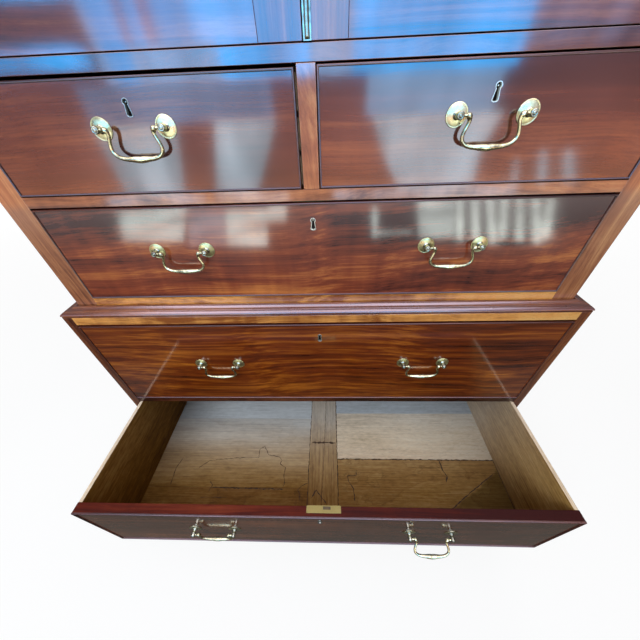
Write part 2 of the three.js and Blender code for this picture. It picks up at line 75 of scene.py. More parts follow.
class Nodes:
    """Short names for building the nodes of a material or of the world."""

    def __init__(self, holder, output):
        holder.use_nodes = True
        self.tree = holder.node_tree
        self.tree.nodes.clear()
        self.out = self.new(output)

    def new(self, kind, **settings):
        return give(self.tree.nodes.new("ShaderNode" + kind), **settings)

    def feed(self, socket, value):
        """Sets a socket to a number, a vector or a colour, or links another socket to it."""
        if isinstance(value, (int, float)):
            socket.default_value = value
        elif isinstance(value, tuple):
            socket.default_value = value if len(value) == len(socket.default_value) else (*value, 1)
        else:
            self.tree.links.new(value, socket)

    def node(self, kind, output, inputs, **settings):
        """Makes a node, feeds its inputs and gives one of its outputs."""
        node = self.new(kind, **settings)
        for key, value in inputs.items():
            self.feed(node.inputs[key], value)
        return node.outputs[output]

    def place(self):
        return self.new("TexCoord").outputs["Object"]

    def coords(self, scale, offset=(0, 0, 0), place=None):
        place = place or self.place()
        return self.node("Mapping", 0, {"Location": offset, "Scale": scale, "Vector": place})

    def axis(self, which):
        return self.node("SeparateXYZ", which, {0: self.place()})

    def noise(self, vector, detail=4, rough=0.55, distortion=0):
        return self.node("TexNoise", "Fac", {
            "Scale": 1, "Detail": detail, "Roughness": rough, "Distortion": distortion, "Vector": vector})

    def ramp(self, fac, stops):
        """Stops of (place, colour or grey)."""
        node = self.new("ValToRGB")
        items = node.color_ramp.elements
        while len(items) < len(stops):
            items.new(0.5)
        for item, (place, colour) in zip(items, stops):
            item.position = place
            item.color = (*colour, 1) if isinstance(colour, tuple) else (colour, colour, colour, 1)
        self.feed(node.inputs["Fac"], fac)
        return node.outputs["Color"]

    def span(self, fac, low, high, a=0, b=1):
        """fac from low..high, clamped, to a..b."""
        return self.node("MapRange", "Result", {
            "From Min": low, "From Max": high, "To Min": a, "To Max": b, "Value": fac})

    def math(self, operation, a, b):
        return self.node("Math", 0, {0: a, 1: b}, operation=operation)

    def sway(self, noise, amount):
        """A noise as a shift to either side of nothing."""
        return self.math("MULTIPLY", self.math("SUBTRACT", noise, 0.5), amount)

    def blend(self, parts):
        """The sum of (value, weight) pairs."""
        total = None
        for value, weight in parts:
            term = self.math("MULTIPLY", value, weight)
            total = term if total is None else self.math("ADD", total, term)
        return total

    def mix(self, fac, a, b, blend="MIX"):
        return self.node("Mix", 2, {0: fac, 6: a, 7: b}, data_type="RGBA", blend_type=blend)

    def by_ray(self, rays, ray, no, yes):
        """The shader yes for rays of that kind, and no for the others."""
        return self.node("MixShader", 0, {0: rays.outputs[f"Is {ray} Ray"], 1: no, 2: yes})


class Surface(Nodes):
    """The nodes of a new material with a principled shader."""

    def __init__(self, name):
        self.material = bpy.data.materials.new(name)
        super().__init__(self.material, "OutputMaterial")
        self.bsdf = self.new("BsdfPrincipled")
        self.feed(self.out.inputs[0], self.bsdf.outputs[0])

    def set(self, **values):
        for key, value in values.items():
            self.feed(self.bsdf.inputs[key.replace("_", " ")], value)

    def bump(self, height, strength, distance, socket="Normal"):
        normal = self.node("Bump", "Normal", {
            "Strength": strength, "Distance": distance * MM, "Height": height})
        self.feed(self.bsdf.inputs[socket], normal)


def along(grain, length, across):
    """A noise scale for each axis: length along the grain, and across on the other two."""
    scale = [across] * 3
    scale["xyz".index(grain)] = length
    return tuple(scale)


# Tones of the polished mahogany: dark, middle and light
WARM_FACE = ((0.045, 0.007, 0.001), (0.18, 0.031, 0.002), (0.46, 0.135, 0.011))
CASE = ((0.04, 0.008, 0.003), (0.14, 0.033, 0.009), (0.3, 0.1, 0.03))
BEAD = ((0.016, 0.003, 0.002), (0.065, 0.014, 0.006), (0.14, 0.04, 0.015))
ORANGE_FACE = ((0.03, 0.003, 0.004), (0.25, 0.048, 0.015), (0.66, 0.22, 0.048))
AMBER = ((0.3, 0.085, 0.014), (0.84, 0.37, 0.085), (0.92, 0.5, 0.15))
RUSSET = ((0.08, 0.018, 0.008), (0.36, 0.13, 0.05), (0.62, 0.3, 0.12))
DEEP_FACE = ((0.016, 0.003, 0.002), (0.072, 0.015, 0.006), (0.19, 0.055, 0.015))
FRAME_FACE = ((0.034, 0.006, 0.003), (0.14, 0.028, 0.008), (0.3, 0.095, 0.027))
EDGE = ((0.028, 0.002, 0), (0.088, 0.009, 0.001), (0.2, 0.034, 0.008))
# The next tones, for the open drawer's front, are the face mahogany a little darker for the shade it is in:
# painted shade.
SHADE_FACE = ((0.028, 0.006, 0.003), (0.12, 0.029, 0.009), (0.27, 0.08, 0.024))

made = {}


def once(build):
    """Keeps one material for each set of arguments."""
    def kept(*args, **settings):
        key = (build.__name__, args, tuple(sorted(settings.items())))
        if key not in made:
            made[key] = build("%s_%03d" % (build.__name__, len(made)), *args, **settings)
        return made[key]
    return kept


@once
def mahogany(name, tones, seed, grain="x", coat=0.9, rough=0.38, figure=1, drift=0, bold=1,
             cross=0.07, gloss=0.09, lift=None, lustre=0):
    """Polished mahogany: broad ribbon stripes, fine streaks, short pores and a faint cross ripple.
    lift = (axis, low, high, change at low, change at high) lightens or darkens it along an axis,
    and lustre is the share of its colour that comes as a sheen off the fibres."""
    n = Surface(name)
    shift = (seed * 3.17, seed * 1.73, seed * 2.39)
    wander = n.noise(n.coords(along(grain, 1.9, 1.1), shift), 2, 0.45)
    place = n.place()
    nudge = n.new("CombineXYZ")
    amount = n.sway(wander, 0.05 + drift)
    for i, letter in enumerate("xyz"):
        if letter != grain:
            n.feed(nudge.inputs[i], amount)
    swayed = n.node("VectorMath", 0, {0: place, 1: nudge.outputs[0]}, operation="ADD")

    # Each layer's scale along the grain and across it, its detail and its roughness
    def layer(length, across, detail, ragged):
        return n.noise(n.coords(along(grain, length, across), shift, swayed), detail, ragged)

    broad = layer(1.7, 8, 3, 0.5)
    ribbon = layer(1.4, 42, 3, 0.55)
    stripe = layer(1.9, 115, 3, 0.55)
    streak = layer(5, 330, 4, 0.6)
    pore = layer(90, 1400, 2, 0.5)
    ripple = layer(30, 4, 2, 0.5)
    parts = ((broad, 0.34 * figure), (ribbon, 0.34), (stripe, 0.3 * bold), (streak, 0.2), (ripple, cross))
    tone = n.blend(parts)
    middle = sum(weight for _, weight in parts) / 2
    if lift:
        axis, low, high, at_low, at_high = lift
        tone = n.math("ADD", tone, n.span(n.axis(axis), low * MM, high * MM, at_low, at_high))
    tone = n.span(tone, middle - 0.125, middle + 0.145)
    colour = n.ramp(tone, list(zip((0, 0.5, 1), tones)))
    flecks = n.ramp(n.span(pore, 0.55, 0.72), [(0, 1), (1, 0.45)])
    colour = n.mix(0.6, colour, n.mix(1, colour, flecks, "MULTIPLY"))
    worn = n.noise(n.coords((9, 9, 9), shift), 4, 0.6)
    colour = n.mix(n.span(worn, 0.62, 0.8, 0, 0.35), colour, tones[0])
    n.set(Base_Color=colour)
    n.set(Roughness=n.span(worn, 0.3, 0.7, rough - 0.06, rough + 0.1))
    n.set(Coat_Weight=coat, Coat_Roughness=gloss, Coat_IOR=2, Specular_IOR_Level=0.16, Metallic=lustre)
    n.bump(n.blend([(streak, 0.5), (pore, 0.35), (ribbon, 0.3)]), 0.18, 0.35)
    n.bump(n.blend([(streak, 0.7), (stripe, 0.6)]), 1, 0.016, "Coat Normal")
    return n.material


# Tones of the dry woods: dark, middle and light
OAK = ((0.2, 0.088, 0.012), (0.42, 0.235, 0.052), (0.6, 0.39, 0.13))
BROWN_OAK = ((0.15, 0.058, 0.006), (0.31, 0.155, 0.027), (0.5, 0.29, 0.078))
PALE_OAK = ((0.56, 0.41, 0.24), (0.9, 0.71, 0.49), (0.98, 0.85, 0.65))
# The next tone, for the open drawer's left side, is oak darkened for the shade that side is in: painted
# shade.
SHADED_OAK = ((0.07, 0.026, 0.003), (0.2, 0.092, 0.012), (0.36, 0.2, 0.05))
# The next tone, for the open drawer's rearmost floorboards, is oak turned blue-grey: painted cool light.
COOL_LIT_OAK = ((0.3, 0.35, 0.4), (0.42, 0.49, 0.57), (0.52, 0.6, 0.68))
STRAW = ((0.25, 0.165, 0.085), (0.45, 0.33, 0.19), (0.6, 0.47, 0.3))
PINE = ((0.19, 0.095, 0.042), (0.38, 0.225, 0.115), (0.52, 0.35, 0.2))
BROWN_PINE = ((0.15, 0.07, 0.03), (0.31, 0.17, 0.08), (0.44, 0.27, 0.15))


@once
def dry_wood(name, tones, seed, grain="y", stain=0, rough=0.5, corner=None, faded=None, grime=None):
    """Unpolished wood with open grain. stain adds the tide marks of old damp,
    corner = (x, y, along x, along y) darkens it on one side of a line,
    faded = (y, y, amount) paints cool light on it, greyer and bluer from the first place to the
    second, and grime = (axis, place, place, amount) paints shade on it, darker from the first
    place to the second."""
    n = Surface(name)
    shift = (seed * 2.31, seed * 3.71, seed * 1.37)
    broad = n.noise(n.coords(along(grain, 1.5, 9), shift), 4, 0.55)
    streak = n.noise(n.coords(along(grain, 7, 260), shift), 5, 0.62)
    fleck = n.noise(n.coords(along(grain, 75, 1100), shift), 2, 0.5)
    ray = n.noise(n.coords(along(grain, 45, 120), shift), 2, 0.5)
    tone = n.blend([(broad, 0.4), (streak, 0.4), (ray, 0.2)])
    colour = n.ramp(n.span(tone, 0.35, 0.65), list(zip((0, 0.5, 1), tones)))
    marks = n.ramp(n.span(fleck, 0.54, 0.7), [(0, 1), (1, 0.5)])
    colour = n.mix(0.7, colour, n.mix(1, colour, marks, "MULTIPLY"))
    # Painted cool light: the wood turns greyer and bluer from the first place to the second.
    if faded:
        start, end, amount = faded
        far = n.span(n.math("ADD", n.axis(1), n.sway(broad, 0.12)), start * MM, end * MM)
        grey = n.ramp(far, [(0, (0.6, 0.46, 0.3)), (0.5, (0.62, 0.52, 0.42)), (1, (0.6, 0.62, 0.63))])
        grey = n.mix(1, grey, n.ramp(n.span(tone, 0.35, 0.65), [(0, 0.72), (1, 1.15)]), "MULTIPLY")
        colour = n.mix(n.math("MULTIPLY", far, amount), colour, grey)
    if stain:
        tide = n.noise(n.coords((2.6, 3.4, 3), shift), 5, 0.6, 0.4)
        line = n.ramp(tide, [(0, 0), (0.52, 0), (0.5255, 0.7), (0.531, 0.12), (0.6, 0)])
        inside = n.span(tide, 0.5, 0.54, 0, 0.55 * stain)
        colour = n.mix(inside, colour, n.mix(1, colour, (0.78, 0.64, 0.45), "MULTIPLY"))
        colour = n.mix(n.math("MULTIPLY", line, stain), colour, (0.07, 0.034, 0.012))
    if corner:
        x, y, ax, ay = corner
        dx = n.math("MULTIPLY", n.math("SUBTRACT", n.axis(0), x * MM), ax)
        dy = n.math("MULTIPLY", n.math("SUBTRACT", n.axis(1), y * MM), ay)
        rag = n.noise(n.coords((30, 30, 30), shift), 4, 0.6)
        far = n.span(n.math("ADD", n.math("ADD", dx, dy), n.sway(rag, 0.03)), -0.002, 0.006, 0, 0.8)
        colour = n.mix(far, colour, n.mix(1, colour, (0.42, 0.46, 0.34), "MULTIPLY"))
    # Painted shade: the wood turns darker from the first place to the second.
    if grime:
        axis, shade_from, shade_to, amount = grime
        reach = n.math("ADD", n.axis(axis), n.sway(broad, 0.16))
        colour = n.mix(n.span(reach, shade_from * MM, shade_to * MM, 0, amount), colour, (0.035, 0.022, 0.01))
    n.set(Base_Color=colour)
    n.set(Roughness=n.span(streak, 0.3, 0.7, rough - 0.08, rough + 0.12))
    n.set(Specular_IOR_Level=0.08)
    n.bump(n.blend([(streak, 0.8), (fleck, 0.6)]), 0.35, 0.5)
    return n.material


@once
def brass(name, seed, base=(0.76, 0.72, 0.38), tarnish=(0.17, 0.13, 0.05), amount=0.8, rough=0.24,
          metal=0.92):
    """Old pale brass, rubbed bright, with darker patches and fine scratches."""
    n = Surface(name)
    shift = (seed, seed * 2, seed * 3)
    patch = n.noise(n.coords((110, 110, 110), shift), 4, 0.55)
    cloud = n.noise(n.coords((22, 22, 22), shift), 2, 0.5)
    fine = n.noise(n.coords((1300, 700, 1300), shift), 2, 0.5)
    dull = n.span(n.blend([(patch, 0.5), (cloud, 0.5)]), 0.44, 0.66, 0, amount)
    n.set(Base_Color=n.mix(dull, base, tarnish), Metallic=metal)
    n.set(Roughness=n.span(patch, 0.35, 0.7, rough, rough + 0.16))
    n.bump(n.blend([(patch, 0.4), (fine, 0.5)]), 0.1, 0.08)
    return n.material


@once
def dark_gap(name, deep=(0.012, 0.007, 0.004), rim=(0.05, 0.026, 0.012)):
    """Dark grit for a keyhole or a crack: some dirt, with painted shade for the shade down inside it."""
    n = Surface(name)
    grit = n.noise(n.coords((400, 400, 400)), 3)
    n.set(Base_Color=n.ramp(grit, [(0.3, deep), (0.7, rim)]))
    n.set(Roughness=n.span(grit, 0.3, 0.7, 0.6, 0.9))
    n.bump(grit, 0.4, 0.2)
    return n.material


# Mesh helpers


def add_object(name, data):
    obj = bpy.data.objects.new(name, data)
    scene.collection.objects.link(obj)
    return obj


def mesh_object(name, bm):
    """Turns a bmesh into an object of the scene."""
    mesh = bpy.data.meshes.new(name)
    bm.to_mesh(mesh)
    bm.free()
    return add_object(name, mesh)


def to_metres(bm):
    bmesh.ops.scale(bm, vec=(MM, MM, MM), verts=bm.verts)
    bmesh.ops.recalc_face_normals(bm, faces=bm.faces)


def piece(name, bm, looks, body, node=None, bevel=0, smooth=38, second=None):
    """Turns a bmesh in millimetres into a piece that rides on a body. Edges that turn by less than
    smooth degrees are shaded round, and faces that second picks have the second of two looks."""
    to_metres(bm)
    for face in bm.faces:
        face.smooth = True
    for edge in bm.edges:
        edge.smooth = len(edge.link_faces) == 2 and edge.calc_face_angle() < radians(smooth)
    obj = mesh_object(name, bm)
    for look in looks if second else [looks]:
        obj.data.materials.append(look)
    if second:
        for face in obj.data.polygons:
            face.material_index = 1 if second(face) else 0
    if bevel:
        give(obj.modifiers.new("soft_edges", "BEVEL"), width=bevel * MM, segments=2, limit_method="ANGLE",
             angle_limit=radians(smooth), harden_normals=True)
    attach(obj, body)
    if node:
        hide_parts(node)
    return obj


def box(x, y, z, bm=None):
    """Adds a box to a bmesh or starts one with it, as the next functions do with their shapes."""
    bm = bm or bmesh.new()
    corners = [bm.verts.new((x[i], y[j], z[k])) for i in (0, 1) for j in (0, 1) for k in (0, 1)]
    for face in ((0, 1, 3, 2), (4, 6, 7, 5), (0, 4, 5, 1), (2, 3, 7, 6), (0, 2, 6, 4), (1, 5, 7, 3)):
        bm.faces.new([corners[i] for i in face])
    return bm


def board(name, x, y, z, look, body, slot, node=None, bevel=0.7):
    piece(name, box(x, y, z), look, body, node, bevel)


def skin(rings, closed=False, bm=None):
    """Skins rings of points. closed joins the last ring to the first, and else both ends are capped."""
    bm = bm or bmesh.new()
    rows = [[bm.verts.new(p) for p in ring] for ring in rings]
    count = len(rows[0])
    for a, b in list(zip(rows, rows[1:])) + ([(rows[-1], rows[0])] if closed else []):
        for i in range(count):
            j = (i + 1) % count
            bm.faces.new((a[i], a[j], b[j], b[i]))
    if not closed:
        bm.faces.new(rows[0])
        bm.faces.new(rows[-1])
    return bm


def copied(node, name, looks, bevel=0.6, second=None):
    """A CAD node of the carcase, its own shape with the edges rounded, in a finished material."""
    bm = bmesh.new()
    bm.from_mesh(frame["nodes"][node].data)
    bmesh.ops.transform(bm, matrix=frame["nodes"][node].matrix_world, verts=bm.verts)
    bmesh.ops.remove_doubles(bm, verts=bm.verts, dist=2e-6)
    bmesh.ops.dissolve_limit(bm, angle_limit=radians(0.5), verts=bm.verts, edges=bm.edges)
    bmesh.ops.scale(bm, vec=(1 / MM,) * 3, verts=bm.verts)
    for face in bm.faces:
        face.material_index = 0
    piece(name, bm, looks, "carcase", node, bevel, second=second)


def inset(x, y, z, inward):
    """Corners of a rectangle on a face that looks along -Y, moved in from its edges."""
    x0, x1, z0, z1 = x[0] + inward, x[1] - inward, z[0] + inward, z[1] - inward
    return [(x0, y, z0), (x1, y, z0), (x1, y, z1), (x0, y, z1)]


def frame_strip(x, face_y, z, outline):
    """Runs an outline of (inward, outward) points round a rectangle on a face that looks along -Y."""
    return skin(list(zip(*(inset(x, face_y - out, z, inward) for inward, out in outline))), closed=True)


def arc(centre, radius, start, end, count):
    """Points on a circle from one angle in degrees to another."""
    return [(centre[0] + radius * cos(radians(start + (end - start) * i / count)),
             centre[1] + radius * sin(radians(start + (end - start) * i / count)))
            for i in range(count + 1)]


def lathe(centre, axis, profile, steps, bm=None):
    """Turns a profile of (radius, distance) about an axis through centre."""
    bm = bm or bmesh.new()
    axis = Vector(axis).normalized()
    side = axis.orthogonal().normalized()
    up = axis.cross(side)
    centre = Vector(centre)
    rings = []
    for radius, far in profile:
        if radius < 0.02:
            rings.append([bm.verts.new(centre + axis * far)])
        else:
            rings.append([bm.verts.new(centre + axis * far + (side * cos(a) + up * sin(a)) * radius)
                          for a in (2 * pi * i / steps for i in range(steps))])
    for a, b in zip(rings, rings[1:]):
        for i in range(steps):
            j = (i + 1) % steps
            quad = [a[i % len(a)], a[j % len(a)], b[j % len(b)], b[i % len(b)]]
            bm.faces.new(list(dict.fromkeys(quad)))
    for ring in (rings[0], rings[-1]):
        if len(ring) > 1:
            bm.faces.new(ring)
    return bm


def cut_with(obj, bm, look):
    """Cuts a shape in millimetres out of an object, and lines the cut with look."""
    to_metres(bm)
    cutter = mesh_object("cutter", bm)
    cutter.data.materials.append(look)
    give(obj.modifiers.new("cut", "BOOLEAN"), operation="DIFFERENCE", solver="EXACT",
         material_mode="TRANSFER", object=cutter)
    depsgraph = bpy.context.evaluated_depsgraph_get()
    cut = bpy.data.meshes.new_from_object(obj.evaluated_get(depsgraph), depsgraph=depsgraph)
    obj.modifiers.clear()
    obj.data = cut
    bpy.data.objects.remove(cutter)


# Carcase


def case_tone(seed, grain="z", **more):
    return mahogany(CASE, seed, grain, **more)


for k, side in enumerate(("left", "right")):
    for case, seed in (("lower", 11), ("upper", 21)):
        board_look = case_tone(seed + k)
        stile_look = mahogany(RUSSET, 25 + k, "z", figure=1.5) if case == "upper" else board_look
        copied(f"{case}_side_{side}", f"{case}_side_{side}_board", [board_look, stile_look],
               second=lambda face: face.normal.y < -0.5)
copied("base_plinth", "base_frame", case_tone(5, "x"), 1.2)

# lower_dust_board, the rail above the open drawer, takes the dark bead tones for the shade it lies in:
# painted shade.
RAILS = (("lower_bottom", "x", AMBER), ("lower_dust_board", "x", BEAD), ("lower_top", "x", AMBER),
         ("upper_bottom", "x", AMBER), ("upper_dust_board", "x", RUSSET), ("short_divider", "z", RUSSET),
         ("cupboard_floor", "x", DEEP_FACE))
for k, (node, grain, tones) in enumerate(RAILS):
    look = mahogany(tones, 31 + k, grain, figure=1.7, bold=0.6, cross=0.22, drift=0.16, rough=0.34,
                    coat=0.5 if tones is BEAD else 0.9)
    copied(node, f"{node}_wood", look, 0.8)
copied("upper_top", "upper_top_wood", case_tone(38, "x", figure=1.3, cross=0.02), 0.8)

# Backs of upright boards, which touch but for a hundredth of a millimetre at each edge
for node, count in (("upper_back", 6), ("lower_back", 5)):
    x, y, z = extent(node)
    step = (x[1] - x[0]) / count
    for i in range(count):
        look = dry_wood(BROWN_PINE if i in (1, 4) else PINE, 41 + i + count, "z", stain=0.25, rough=0.62)
        board(f"{node}_board_{i + 1}", (x[0] + step * i + 0.01, x[0] + step * (i + 1) - 0.01), y, z, look,
              "carcase", "carcase_wood", node if i == 0 else None, 1.2)

upper_x, upper_y, _ = extent("upper_side_right")
case_half, case_front = upper_x[1], upper_y[0]
case_back = extent("waist_moulding")[1][1]


def around_case(name, outline, look, node):
    """A moulding round the front and both ends of the upper case, mitred at the front corners.
    Its outline is (out from the case, height)."""
    stations = ((-1, case_back, 0), (-1, case_front, 1), (1, case_front, 1), (1, case_back, 0))
    rings = [[(s * (case_half + out), y - front * out, z) for out, z in outline] for s, y, front in stations]
    piece(name, skin(rings), look, "carcase", node, 0.25, 30)


foot, top = extent("waist_moulding")[2]
FILLET = [(0.2, 0), (30, 0), (30, 2.5), (28.4, 2.7), (28.2, 3.6)]
LOWER_REED = [(30.2, 4.1), (31.2, 5.2), (31.1, 6.8), (30.1, 8.6), (28.5, 10.2), (26.5, 11.6), (24.3, 12.6),
              (22.6, 13)]
QUIRK = [(21.6, 12.2), (20.8, 12), (20.2, 12.7)]
UPPER_REED = [(16.4, 12.6), (12.7, 12.5), (12.1, 13.2), (11.2, 14.3), (9.7, 15.5), (7.7, 16.6), (5.3, 17.4)]
waist = [(out, foot + up) for out, up in FILLET + LOWER_REED + QUIRK + UPPER_REED]
waist += [(3.3, top), (2.7, top - 0.3), (2.6, foot + 10), (0.2, foot + 10)]
around_case("waist_reeds", waist, case_tone(6, "x", rough=0.26, gloss=0.2), "waist_moulding")

low, high = extent("cornice")[2]
COVE_OUT, BEAD_RADIUS, BAND, WELL = 45.5, 4, 7.5, 39.8
cove_high = high - low - 17
cove = [(BEAD_RADIUS + COVE_OUT * (1 - cos(turn)), low + 2 * BEAD_RADIUS + cove_high * sin(turn))
        for turn in (pi / 2 * t / 20 for t in range(21))]
crown = [(0.2, low), *arc((BEAD_RADIUS, low + BEAD_RADIUS), BEAD_RADIUS, -90, 90, 10), *cove, (53, high - 9),
         (53, high - BAND), (58, high - BAND), (58, high), (-70, high), (-70, high - WELL),
         (0.2, high - WELL)]
around_case("cornice_crown", crown, case_tone(7, "x", rough=0.28), "cornice")

# Doors, hinges, astragal, trays

STILE, RAIL = 60, 68


def door(side, k):
    """A door: two stiles, two rails, the moulded bead round the opening and a fielded panel."""
    body = f"door_{side}"
    x, y, z = extent(f"{body}_frame")
    inner_x = (x[0] + STILE, x[1] - STILE)
    inner_z = (z[0] + RAIL, z[1] - RAIL)
    for i, ends in enumerate(((x[0], inner_x[0]), (inner_x[1], x[1]))):
        look = mahogany(FRAME_FACE, 51 + i + 3 * k, "z", gloss=0.18)
        node = None if i else f"{body}_frame"
        board(f"{body}_stile_{i + 1}", ends, y, z, look, body, "mahogany", node, 0.6)
    for i, ends in enumerate(((z[0], inner_z[0]), (inner_z[1], z[1]))):
        look = mahogany(FRAME_FACE, 61 + i + 3 * k)
        board(f"{body}_rail_{i + 1}", (inner_x[0] + 0.1, inner_x[1] - 0.1), y, ends, look, body, "mahogany",
              bevel=0.6)
    turns = [t * pi / 16 for t in range(9)]
    ovolo = [(-1, -1.2), (0.6, -1.2), *[(0.6 + 5.6 * sin(t), -6.6 + 4.6 * cos(t)) for t in turns],
             (6.2, -8), (-1, -8)]
    piece(f"{body}_bead", frame_strip(inner_x, y[0], inner_z, ovolo), case_tone(71 + k), body)
    # The panel's steps: in from the opening's edge, and back from the middle of the door
    steps = ((-8.2, 3.8), (-8.2, -4.2), (6, -4.5), (42, -7), (45, -7.2), (45.4, -8.5), (47, -8.5))
    middle = (y[0] + y[1]) / 2
    look = mahogany(WARM_FACE, 81 + k, "z", figure=1.3, drift=0.12)
    panel = skin([inset(inner_x, middle + back, inner_z, inward) for inward, back in steps])
    piece(f"{body}_fielded_panel", panel, look, body, f"{body}_panel", 0.3, 12)


def astragal():
    """The brass strip on the right door: a flat with a half-round bead that runs out at both ends."""
    x, y, z = extent("door_astragal")
    middle = (x[0] + x[1]) / 2
    flat_y, radius, ease, foot_length = y[1] - 1.6, 3.5, 0.3, 1.2
    bead = [(middle + radius * cos(pi * i / 16), flat_y - radius * sin(pi * i / 16))
            for i in range(17)]
    section = [(x[1], y[1]), (x[1], flat_y + ease), (x[1] - ease, flat_y), *bead, (x[0] + ease, flat_y),
               (x[0], flat_y + ease), (x[0], y[1])]
    flat = [(px, max(py, flat_y)) for px, py in section]
    rings = [[(px, py, z[0] + up) for px, py in flat] for up in (0, foot_length)]
    for turn in (pi / 2 * i / 8 for i in range(1, 9)):
        up = z[0] + foot_length + radius * (1 - cos(turn))
        rings.append([(px, py if py >= flat_y else flat_y + (py - flat_y) * sin(turn), up)
                      for px, py in section])
    upper_end = [[(px, py, z[0] + z[1] - pz) for px, py, pz in ring] for ring in reversed(rings)]
    look = brass(3, (0.36, 0.44, 0.34), (0.08, 0.11, 0.08), amount=0.9, rough=0.25)
    piece("astragal_strip", skin(rings + upper_end), look, "door_right", "door_astragal")


def joint_place(body):
    """Where a body's joint lies, in millimetres."""
    joint = next(j for j in frame["joints"] if j["child"] == body)
    return [v / MM for v in joint["pos_m"]]


def hinge(side, sign, share, k):
    """A butt hinge: a leaf on the case and a flap on the door, and their five knuckles round the pin.
    share is how far up the door it sits."""
    px, py, _ = joint_place(f"door_{side}")
    _, door_y, door_z = extent(f"door_{side}_frame")
    knuckle = 12.8
    low_end = door_z[0] + share * (door_z[1] - door_z[0]) - 2.5 * knuckle
    edges = [low_end + knuckle * i for i in range(6)]
    low, high = edges[0] + 0.3, edges[5] - 0.3
    parts = (("leaf", "carcase", (0, 2, 4), 0.05), ("flap", f"door_{side}", (1, 3), -0.25))
    for part, body, picks, leaf in parts:
        bm = bmesh.new()
        for i in picks:
            z0, z1 = edges[i] + 0.25, edges[i + 1] - 0.25
            drum = [(0, z0), (3.5, z0), (3.9, z0 + 0.4), (3.9, z1 - 0.4), (3.5, z1), (0, z1)]
            lathe((px, py, 0), (0, 0, 1), drum, 24, bm)
        if part == "leaf":
            finial = [(0, 0), (2.6, 0), (2.9, 0.9), (3.3, 1.8), (2.4, 3.2), (0, 3.8)]
            lathe((px, py, low), (0, 0, -1), finial, 24, bm)
            lathe((px, py, high), (0, 0, 1), finial, 24, bm)
        x0 = px + sign * leaf
        box(tuple(sorted((x0, x0 + sign * 0.2))), (py + 3, door_y[1] - 2), (low, high), bm)
        piece(f"hinge_{side}_{k + 1}_{part}", bm, brass(5 + k, rough=0.3), body, smooth=50)


def tray(node, k):
    """A linen tray: a low front, full sides and rear, and a floor."""
    x, y, z = extent(node)
    wall, lap, front_high, floor_thick = 12, 12.05, 62, 8
    look = dry_wood(STRAW, 91 + k, "x", stain=0.15)
    side_look = dry_wood(STRAW, 95 + k)
    across, along_side = (x[0] + lap, x[1] - lap), (y[0] + lap, y[1])
    for part, *box_of, grained, ease in (
            ("front", x, (y[0], y[0] + wall), (z[0], z[0] + front_high), look, 1.6),
            ("rear", across, (y[1] - wall, y[1]), z, look, 1.2),
            ("floor", across, (y[0] + lap, y[1] - lap), (z[0], z[0] + floor_thick), look, 0.5),
            ("left", (x[0], x[0] + wall), along_side, z, side_look, 1.2),
            ("right", (x[1] - wall, x[1]), along_side, z, side_look, 1.2)):
        board(f"{node}_{part}", *box_of, grained, node, "oak", node if part == "front" else None, ease)


door("left", 0)
door("right", 1)
astragal()
for side, sign in (("left", -1), ("right", 1)):
    for k, share in enumerate((0.12, 0.5, 0.88)):
        hinge(side, sign, share, k)
tray("tray_lower", 0)
tray("tray_upper", 1)

# Drawers

# Each drawer's veneer, the middle of its keyhole, how much wider the gap above it is than in the CAD,
# the tone of its escutcheon, one brass made lighter or darker drawer by drawer as painted light and shade,
# and how its tone changes from its foot to its top
DEEP = dict(tones=DEEP_FACE, lustre=0.4, bold=0.4, cross=0.06)
DRAWERS = {
    "short_left": dict(veneer=dict(DEEP, figure=0.8, drift=0.03), key=(-277, 1140.5), gap=2.8,
                       ring=(0.34, 0.4, 0.38)),
    "short_right": dict(veneer=dict(DEEP, figure=1.4, drift=0.04), key=(277, 1140.5), gap=1,
                        ring=(0.66, 0.74, 0.66), lift=(0.03, -0.05)),
    "upper_long": dict(veneer=dict(tones=ORANGE_FACE, figure=1.5, bold=0.5, drift=0.06, cross=0.1),
                       key=(-0.5, 954), gap=2, ring=(0.92, 0.98, 0.86), lift=(0.03, -0.13)),
    "middle_long": dict(veneer=dict(tones=WARM_FACE, figure=0.8, bold=1.5, drift=0.04, cross=0.02),
                        key=(3.6, 677), gap=3.4, ring=(0.34, 0.37, 0.33)),
    "bottom_long": dict(veneer=dict(tones=SHADE_FACE, figure=0.8, bold=0.5, drift=0.03, cross=0.06),
                        key=(0, 361), gap=0, ring=(0.15, 0.17, 0.14)),
}
OPEN_DRAWER = "bottom_long"
SHORT_LEFT_SIDE_GAP = 2.2
BEAD_WIDTH, BEAD_HIGH = 3.2, 2.4
DRAWER_SIDE, DRAWER_BACK = 10, 9
FLOOR_LOW, FLOOR_HIGH = 1.5, 8
RAIL_HALF, RAIL_THICK = 48, 5.2
PLATE_DOWN = 52
KEY_HEAD_UP = 7.4
DOVETAIL_PITCH, DOVETAIL_LONG = 46, 16


def keyhole(x, y, z, grow):
    """A keyhole's outline in a face that looks along -Y, round above its middle and flared below."""
    r, neck, foot_half = 3.7 + grow, 2.1 + grow, 3.9 + grow
    start = degrees(asin(neck / r))
    foot_z = -10.4 - grow + foot_half * 0.55
    foot_arc = [(foot_half * cos(t), foot_z + foot_half * 0.55 * sin(t))
                for t in (pi + pi * i / 10 for i in range(11))]
    return [(x + u, y, z + w) for u, w in arc((0, KEY_HEAD_UP), r, -90 + start, 270 - start, 20) + foot_arc]


